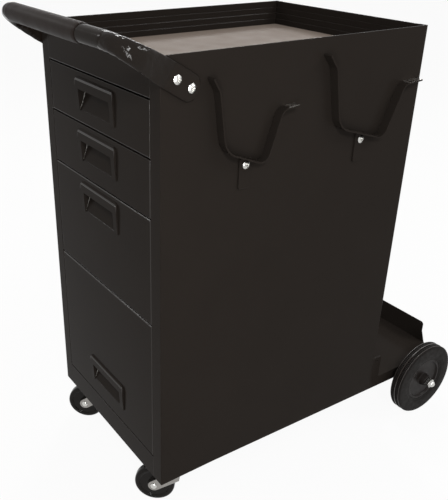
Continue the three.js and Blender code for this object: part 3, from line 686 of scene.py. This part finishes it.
class CART_OT_drawers(Operator):
    """Folds the drawer fronts, the flap and the boxes, and finishes the runners"""

    bl_idname = "cart.drawers"
    bl_label = "Fold Drawers"

    def execute(self, context):
        sizes = context.scene.cart_sizes
        for node in [f"{drawer}_front" for drawer in DRAWERS] + ["flap_panel"]:
            self.front(node, sizes)
        for node in [f"{drawer}_box" for drawer in DRAWERS]:
            box = sheet_copy(node, node + "_folded")
            round_edges(box, sizes.edge_round)
            shade(box)
            fit(box, node)
        for drawer in DRAWERS:
            for kind in ("runner", "slide"):
                for side, _ in SIDES:
                    self.rail(f"{drawer}_{kind}_{side}", sizes)
        self.hinge_rod()
        return {"FINISHED"}

    def front(self, node, sizes):
        """A front whose four outer edges are folds."""
        panel = sheet_copy(node, node + "_folded")
        low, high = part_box(node)

        def on_rim(a, b):
            if not (near(a.y, FRONT) and near(b.y, FRONT)):
                return False
            return any(near(a[k], edge[k]) and near(b[k], edge[k]) for k in (0, 2) for edge in (low, high))

        fold_edges(panel, on_rim, sizes.fold_round * 0.7)
        round_edges(panel, sizes.edge_round)
        shade(panel)
        fit(panel, node)

    def rail(self, node, sizes):
        """A rolled runner or slide."""
        rail = sheet_copy(node, node + "_rolled", "galvanised")
        round_edges(rail, sizes.edge_round)
        shade(rail)
        fit(rail, node)

    def hinge_rod(self):
        """The flap's rod, with chamfered ends."""
        low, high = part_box("flap_hinge_rod")
        radius = (high[2] - low[2]) / 2 / MM
        ends = low[0] / MM, high[0] / MM
        chamfer = radius * 0.3
        rod = turned("flap_hinge_rod_turned", [
            (ends[0], 0), (ends[0], radius - chamfer), (ends[0] + chamfer, radius),
            (ends[1] - chamfer, radius), (ends[1], radius - chamfer), (ends[1], 0),
        ], steps=24, closed=False)
        centre = middle("flap_hinge_rod")
        place(rod, (0, centre.y, centre.z))
        shade(rod)
        finish(rod, "zinc", "flap_hinge_rod")


class CART_OT_pulls(Operator):
    """Stamps the finger pulls"""

    bl_idname = "cart.pulls"
    bl_label = "Stamp Pulls"

    def execute(self, context):
        sizes = context.scene.cart_sizes
        for node in [f"{drawer}_pull" for drawer in DRAWERS] + ["flap_pull"]:
            pull = sheet_copy(node, node + "_stamped", "paint", "fold", "painted_glint")
            low, high = (Vector(corner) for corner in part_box(node))
            crest = high.z - 10 * MM
            # The pocket's slanted inside corner gets the bright metal of slot 2, a painted glint.
            fold_edges(pull, self.inside_corner, sizes.stamp_round * 0.7, slot=2)
            fold_edges(pull, lambda a, b: all(near(p.y, low.y) and p.z > crest for p in (a, b)),
                       sizes.stamp_round)
            round_edges(pull, sizes.edge_round * 2, 3, slot=0)
            shade(pull)
            fit(pull, node)
        return {"FINISHED"}

    def inside_corner(self, a, b):
        """Whether an edge is the slanted corner at an end of the pocket."""
        return near(a.x, b.x) and abs(a.y - b.y) > 5 * MM and abs(a.z - b.z) > 12 * MM


class CART_OT_hooks(Operator):
    """Bends the cable hooks"""

    bl_idname = "cart.hooks"
    bl_label = "Bend Hooks"

    def execute(self, context):
        sizes = context.scene.cart_sizes
        for node in ("cable_hook_front", "cable_hook_rear"):
            hook = sheet_copy(node, node + "_bent", "paint", "fold", "painted_glint")
            round_edges(hook, sizes.edge_round * 1.4, slot=0)
            self.glint_tip_and_polish_tab(hook, node)
            shade(hook)
            fit(hook, node)
        return {"FINISHED"}

    def glint_tip_and_polish_tab(self, hook, node):
        """Paints a glint in bright metal on the top of the outer tip, and polishes the tab's lower edge."""
        low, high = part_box(node)
        for face in hook.data.polygons:
            # Upward faces at the tip's end get the bright metal, a painted glint.
            if face.center.y > high[1] - 20 * MM and face.normal.z > 0.5:
                face.material_index = 2
            elif face.center.z < low[2] + 0.6 * MM:
                face.material_index = 1


class CART_OT_handle(Operator):
    """Bends the handle's tube, flattens its ends and pulls the sleeve over it"""

    bl_idname = "cart.handle"
    bl_label = "Bend Handle"

    def execute(self, context):
        sizes = context.scene.cart_sizes
        self.tube(sizes)
        self.sleeve(sizes)
        return {"FINISHED"}

    def tube(self, sizes):
        """Half the tube, extruded and spun from a ring, then mirrored."""
        radius, bend = sizes.tube_radius, sizes.handle_bend
        arm_x = HALF_WIDTH + sizes.arm_gap + radius
        bpy.ops.object.select_all(action="DESELECT")
        bpy.ops.mesh.primitive_circle_add(vertices=64, radius=radius, rotation=(0, math.pi / 2, 0))
        tube = named("handle_tube_bent")
        bpy.ops.object.transform_apply(location=True, rotation=True, scale=True)
        edit(tube)
        bpy.ops.mesh.select_all(action="SELECT")
        bpy.ops.mesh.extrude_region_move(TRANSFORM_OT_translate={"value": (arm_x - bend, 0, 0)})
        bpy.ops.mesh.spin(steps=44, angle=-math.pi / 2, center=(arm_x - bend, bend, 0), axis=(0, 0, 1))
        self.draw_arm(bend, sizes)
        bpy.ops.mesh.edge_face_add()
        bpy.ops.mesh.select_all(action="SELECT")
        bpy.ops.mesh.normals_make_consistent(inside=False)
        done()
        self.flatten(tube, arm_x, sizes)
        self.crumple(tube, arm_x, sizes)
        mirror = tube.modifiers.new("Left half", "MIRROR")
        mirror.merge_threshold = 0.05 * MM
        bpy.ops.object.modifier_apply(modifier=mirror.name)
        place(tube, (0, CROSSBAR.y, CROSSBAR.z), (-ARM_TILT, 0, 0))
        shade(tube, 50)
        for skin in ("enamel", "wrinkle"):
            tube.data.materials.append(material(skin))
        fit(tube, "handle_tube")

    def draw_arm(self, bend, sizes):
        """Extrudes the arm ring by ring, and draws its end in to a rounded outline."""
        flat_start = ARM_LENGTH - (HANDLE_FOOT - HANDLE_KNEE).length - sizes.arm_end
        steps = 16
        rings = [(bend + (flat_start - bend) * (k + 1) / steps, 1.0) for k in range(steps)]
        rings.append((ARM_LENGTH, 1.0))
        for share in (0.35, 0.6, 0.8, 0.93, 1.0):
            rings.append((ARM_LENGTH + sizes.arm_end * share, math.sqrt(1 - (share * 0.78) ** 2)))
        along, height = bend, 1.0
        for next_along, next_height in rings:
            bpy.ops.mesh.extrude_region_move(TRANSFORM_OT_translate={"value": (0, next_along - along, 0)})
            bpy.ops.transform.resize(value=(1, 1, next_height / height), center_override=(0, 0, 0))
            along, height = next_along, next_height

    def flatten(self, tube, arm_x, sizes):
        """Presses the tube flat against its inner side, more and more from the bend to the screws."""
        radius, bend = sizes.tube_radius, sizes.handle_bend
        flat_start = ARM_LENGTH - (HANDLE_FOOT - HANDLE_KNEE).length - sizes.arm_end
        arc = bend * math.pi / 2
        corner = Vector((arm_x - bend, bend, 0))
        for vertex in tube.data.vertices:
            spoke = Vector((vertex.co.x - corner.x, vertex.co.y - corner.y, 0))
            if spoke.x <= 0:
                continue
            angle = min(math.pi / 2, math.atan2(spoke.x, -spoke.y))
            outward = Vector((math.sin(angle), -math.cos(angle), 0))
            straight = max(0.0, spoke.y)
            share = min(1.0, (bend * angle + straight) / (arc + flat_start - bend))
            ease = share * share * (3 - 2 * share)
            wide = 1 + (sizes.arm_flat / 2 / radius - 1) * ease
            high = 1 + (sizes.arm_height / 2 / radius - 1) * ease
            depth = spoke.dot(outward) - (bend - radius)
            pressed = corner + outward * (bend - radius + depth * wide)
            vertex.co = pressed + Vector((0, straight, vertex.co.z * high))

    def crumple(self, tube, arm_x, sizes):
        """Dents the wall round the bend, where the pressed tube gave way, and puckers its skin."""
        corner = Vector((arm_x - sizes.tube_radius, sizes.handle_bend * 0.8, 0))
        reach = sizes.handle_bend * 1.5
        for face in tube.data.polygons:
            face.material_index = 1 if (face.center - corner).length < reach * 0.8 else 0
        normals = [vertex.normal.copy() for vertex in tube.data.vertices]
        for vertex, normal in zip(tube.data.vertices, normals):
            fade = max(0.0, 1 - (vertex.co - corner).length / reach)
            dent = noise.noise(vertex.co * per_metre(9)) + 0.5 * noise.noise(vertex.co * per_metre(5))
            vertex.co -= normal * max(0.0, dent + 0.1) * sizes.crumple * min(1.0, 3 * fade)

    def sleeve(self, sizes):
        """A sleeve with rolled ends over the crossbar."""
        low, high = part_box("handle_grip")
        left, right = low[0] / MM, high[0] / MM
        outer = (high[2] - low[2]) / 2 / MM
        inner = sizes.tube_radius / MM + 0.1
        sleeve = turned("handle_grip_sleeve", [
            (left, inner), (left, inner + 0.5), (left + 1.5, outer - 0.5), (left + 6, outer),
            (right - 6, outer), (right - 1.5, outer - 0.5), (right, inner + 0.5), (right, inner),
        ], steps=64, soft=0.5)
        place(sleeve, (0, CROSSBAR.y, CROSSBAR.z))
        shade(sleeve, 45)
        finish(sleeve, "sleeve", "handle_grip")


class CART_OT_screws(Operator):
    """Turns the pan-head screws"""

    bl_idname = "cart.screws"
    bl_label = "Turn Screws"

    def execute(self, context):
        nodes = [f"handle_screw_{end}_{side}" for end in ("front", "rear") for side, _ in SIDES]
        nodes += ["hook_screw_front", "hook_screw_rear", "ear_screw_right", "ear_screw_left"]
        for node in nodes:
            self.screw(node, "paint" if node.startswith("ear") else "zinc")
        return {"FINISHED"}

    def screw(self, node, plate):
        """A domed head with a cross recess on a plain shank, along X."""
        size = extent(node) / MM
        radius = size.y / 2
        shank = radius * 0.5
        head = radius * 0.6
        length = size.x - head
        dome = [(head * math.cos(a), radius * math.sin(a)) for a in (0, 0.4, 0.8, 1.15)]
        profile = dome + [(head * 0.32, radius), (0, radius * 0.98), (0, shank), (-length, shank), (-length, 0)]
        screw = turned(node + "_turned", profile, steps=32, closed=False)
        self.recess(screw, head, radius)
        side = 1 if middle(node).x > 0 else -1
        low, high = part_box(node)
        seat = high[0] - head * MM if side > 0 else low[0] + head * MM
        place(screw, (seat, middle(node).y, middle(node).z), (0, 0, 0 if side > 0 else math.pi))
        shade(screw, 40)
        finish(screw, plate, node)

    def recess(self, screw, head, radius):
        """Cuts a cross into the head."""
        bpy.ops.object.select_all(action="DESELECT")
        bpy.ops.mesh.primitive_cube_add(size=1)
        bar = named("recess_bar")
        bar.scale = (head * 1.1 * MM, radius * 1.1 * MM, radius * 0.26 * MM)
        bar.location = (head * MM, 0, 0)
        bpy.ops.object.transform_apply(location=True, rotation=True, scale=True)
        second = copy_of(bar, "recess_bar_across")
        place(second, turn=(math.pi / 2, 0, 0))
        for tool in (bar, second):
            pick(screw)
            slot = screw.modifiers.new("Recess", "BOOLEAN")
            slot.object = tool
            slot.operation = "DIFFERENCE"
            bpy.ops.object.modifier_apply(modifier=slot.name)
            bpy.data.objects.remove(tool)


class CART_OT_rear_wheels(Operator):
    """Moulds the rear tyres and hubs, and turns the axle and its nuts"""

    bl_idname = "cart.rear_wheels"
    bl_label = "Make Rear Wheels"

    def execute(self, context):
        sizes = context.scene.cart_sizes
        for side, sign in SIDES:
            turn = (0, 0, 0 if sign > 0 else math.pi)
            spot = middle(f"wheel_tyre_{side}")
            place(self.tyre(side, sizes), spot, turn)
            place(self.hub(side), spot, turn)
            place(self.nut(side), (0, spot.y, spot.z), turn)
            for kind in ("wheel_tyre", "wheel_hub", "axle_nut"):
                shade(bpy.data.objects[f"{kind}_{side}_made"], 40)
            fit(bpy.data.objects[f"wheel_tyre_{side}_made"], f"wheel_tyre_{side}")
            finish(bpy.data.objects[f"wheel_hub_{side}_made"], "hub", f"wheel_hub_{side}")
            finish(bpy.data.objects[f"axle_nut_{side}_made"], "zinc", f"axle_nut_{side}")
        self.axle()
        return {"FINISHED"}

    def tyre(self, side, sizes):
        """A tyre about its own middle, with three ribs in a lighter rubber that is a painted highlight, and a
        serrated band between each two.
        """
        size = extent(f"wheel_tyre_{side}") / MM
        radius, half = size.z / 2, size.x / 2
        seat = extent(f"wheel_hub_{side}").z / 2 / MM + 0.2
        groove, crown = radius - 1.4, radius - 0.5
        band = [
            (0, radius), (0.8, radius), (1.1, groove), (2.1, groove), (2.4, crown), (7.2, crown), (7.5, groove),
            (8.2, groove), (8.5, radius - 0.2), (9.4, radius - 0.3), (10.6, radius - 1.2),
            (half - 0.4, radius - 2.8), (half, radius - 5), (half, radius - 15), (half - 0.3, seat + 6),
            (half - 1.1, seat + 4.8), (half - 1.3, seat + 2), (half - 2, seat),
        ]
        profile = band + [(-x, r) for x, r in reversed(band)][:-1]
        tyre = turned(f"wheel_tyre_{side}_made", profile, steps=2 * sizes.serrations)
        for skin in ("tyre", "rib_highlight"):
            tyre.data.materials.append(material(skin))
        # Faces at the tread's outer reach get the lighter rib colour, a painted highlight.
        for face in tyre.data.polygons:
            face.material_index = int(math.hypot(face.center.y, face.center.z) > (radius - 0.35) * MM)
        step = math.tau / (2 * sizes.serrations)
        for vertex in tyre.data.vertices:
            angle = round(math.atan2(vertex.co.y, vertex.co.z) / step)
            reach = math.hypot(vertex.co.y, vertex.co.z)
            if angle % 2 and near(reach, crown * MM, 0.1 * MM):
                vertex.co.yz *= 1 - 0.8 * MM / reach
        return tyre

    def hub(self, side):
        """A hub with a raised rim, a shallow dish and a conical boss, about the tyre's middle."""
        low, high = (Vector(c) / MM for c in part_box(f"wheel_hub_{side}"))
        centre = abs(middle(f"wheel_tyre_{side}").x) / MM
        start, end = (abs(x) - centre for x in sorted((low.x, high.x), key=abs))
        rim = (high.z - low.z) / 2
        face = extent(f"wheel_tyre_{side}").x / 2 / MM
        return turned(f"wheel_hub_{side}_made", [
            (start, 6.3), (start, 13), (-4, 13), (-5.5, rim - 4), (-5.5, rim), (face - 2.4, rim),
            (face - 2.1, rim - 0.8), (face - 2.1, 40.2), (face - 4.8, 38.6), (face - 5, 30), (face - 5, 15),
            (face - 4, 12.8), (end - 1.5, 10.2), (end, 9.4), (end, 6.3),
        ], steps=96, soft=0.7)

    def nut(self, side):
        """A hexagon with a domed cap, along X from the axle's middle."""
        low, high = (Vector(c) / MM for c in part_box(f"axle_nut_{side}"))
        start, end = sorted((abs(low.x), abs(high.x)))
        flats = (high.z - low.z) / 2
        bpy.ops.object.select_all(action="DESELECT")
        bpy.ops.mesh.primitive_cylinder_add(
            vertices=6, radius=flats / math.cos(math.pi / 6) * MM, depth=(end - start) * 0.55 * MM,
            location=((start + (end - start) * 0.275) * MM, 0, 0), rotation=(0, math.pi / 2, 0))
        hexagon = named("nut_hexagon")
        bpy.ops.object.transform_apply(location=True, rotation=True, scale=True)
        round_edges(hexagon, 0.6 * MM, 3)
        crown = start + (end - start) * 0.5
        rise = end - crown
        dome = [(crown + rise * math.sin(a), flats * 0.86 * math.cos(a)) for a in (1.57, 1.2, 0.9, 0.6, 0.3, 0)]
        cap = turned("nut_cap", dome + [(crown - 1, flats * 0.86), (crown - 1, 0)], steps=32, closed=False)
        return join([hexagon, cap], f"axle_nut_{side}_made")

    def axle(self):
        """A plain axle with chamfered ends."""
        low, high = (Vector(c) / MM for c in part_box("rear_axle"))
        radius = (high.z - low.z) / 2
        axle = turned("rear_axle_turned", [
            (low.x, 0), (low.x, radius - 1), (low.x + 1, radius), (high.x - 1, radius), (high.x, radius - 1),
            (high.x, 0),
        ], steps=40, closed=False)
        centre = middle("rear_axle")
        place(axle, (0, centre.y, centre.z))
        shade(axle)
        finish(axle, "zinc", "rear_axle")


class CART_OT_casters(Operator):
    """Presses the caster plates and forks, and moulds their wheels"""

    bl_idname = "cart.casters"
    bl_label = "Make Casters"

    def execute(self, context):
        sizes = context.scene.cart_sizes
        for side, _ in SIDES:
            for kind, width in (("caster_plate", 2.0), ("caster_fork", 2.0), ("caster_rivet", 1.5)):
                node = f"{kind}_{side}"
                piece = sheet_copy(node, node + "_pressed", "zinc" if kind == "caster_rivet" else "pressed")
                round_edges(piece, sizes.edge_round * width, 3)
                shade(piece)
                fit(piece, node)
            self.roller(side)
        return {"FINISHED"}

    def roller(self, side):
        """A wheel with a rounded tread and a dished disc."""
        joint = next(j for j in BEHAVIOUR["joints"] if j["child"] == f"caster_roller_{side}")
        axis = Vector(joint["axis"])
        spot = Vector(joint["pos_m"])
        radius = spot.z / MM
        half = 10
        rim = [
            (half, 4.3), (half, 10.5), (half - 3, 11.8), (half - 3, 25.4), (half - 1, 26.6), (half - 0.6, 30),
            (half - 1.6, 33), (half - 3.4, radius - 0.6), (half - 6, radius),
        ]
        profile = rim + [(-x, r) for x, r in reversed(rim)]
        roller = turned(f"caster_wheel_{side}_moulded", profile, steps=96, soft=0.6)
        place(roller, spot, (0, 0, math.atan2(axis.y, axis.x)))
        shade(roller, 40)
        finish(roller, "roller", f"caster_wheel_{side}")


class CART_PT_sidebar(Panel):
    """Lists the cart's steps and settings"""

    bl_label = "Welding Cart"
    bl_idname = "CART_PT_sidebar"
    bl_space_type = "VIEW_3D"
    bl_region_type = "UI"
    bl_category = "Cart"

    def draw(self, context):
        for step in STEPS:
            self.layout.operator(step.bl_idname)
        for group in (context.scene.cart_sizes, context.scene.cart_colours, context.scene.cart_stage):
            column = self.layout.column()
            for key in group.bl_rna.properties.keys():
                if key not in ("rna_type", "name"):
                    column.prop(group, key)


STEPS = (
    CART_OT_stage, CART_OT_panels, CART_OT_tray, CART_OT_drawers, CART_OT_pulls, CART_OT_hooks,
    CART_OT_handle, CART_OT_screws, CART_OT_rear_wheels, CART_OT_casters,
)
GROUPS = {"cart_sizes": CartSizes, "cart_colours": CartColours, "cart_stage": CartStage}
CLASSES = (*GROUPS.values(), *STEPS, CART_PT_sidebar)


def register():
    for cls in CLASSES:
        bpy.utils.register_class(cls)
    for key, group in GROUPS.items():
        setattr(bpy.types.Scene, key, PointerProperty(type=group))


def unregister():
    for key in GROUPS:
        delattr(bpy.types.Scene, key)
    for cls in reversed(CLASSES):
        bpy.utils.unregister_class(cls)


def main():
    register()
    bpy.ops.cart.stage()
    bpy.ops.cart.panels()
    bpy.ops.cart.tray()
    bpy.ops.cart.drawers()
    bpy.ops.cart.pulls()
    bpy.ops.cart.hooks()
    bpy.ops.cart.handle()
    bpy.ops.cart.screws()
    bpy.ops.cart.rear_wheels()
    bpy.ops.cart.casters()


if __name__ == "__main__":
    main()
